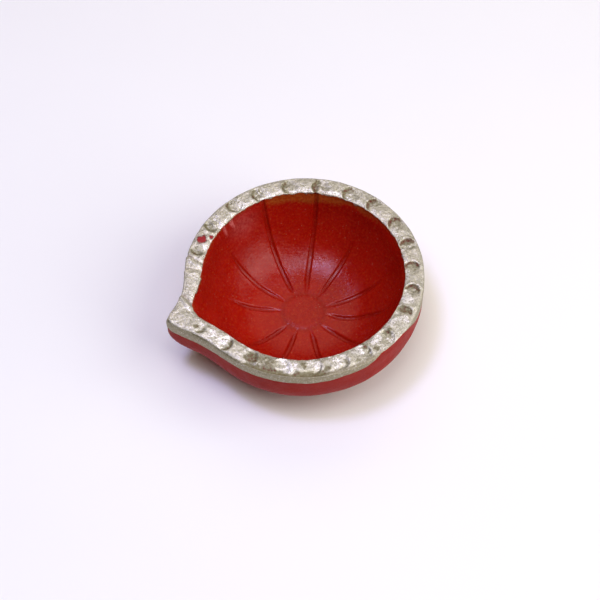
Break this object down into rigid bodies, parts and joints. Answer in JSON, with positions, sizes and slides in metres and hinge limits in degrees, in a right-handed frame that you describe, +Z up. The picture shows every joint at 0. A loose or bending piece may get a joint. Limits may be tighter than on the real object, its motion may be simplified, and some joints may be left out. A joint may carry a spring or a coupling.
{
  "type": "diya oil lamp",
  "caption": "Small fired-clay diya oil lamp: round open bowl with a pinched wick spout, stamped flat rim in gold paint, and petal lines incised in a red inside.",
  "frame": {"origin": "centre of the flat foot, on the axis of the round bowl", "axes": "+Z up out of the bowl, +X along the wick spout"},
  "size_m": [0.0782, 0.071, 0.0245],
  "materials": {
    "clay": "unglazed fired terracotta, matt and slightly sandy",
    "red_paint": "brushed-on red enamel paint, semi-gloss",
    "gold_paint": "pale champagne-gold metallic paint, satin"
  },
  "bodies": {
    "root": {"clay_body": "clay", "red_inner_coat": "red_paint", "red_outer_coat": "red_paint", "gold_rim_coat": "gold_paint"}
  },
  "joints": []
}
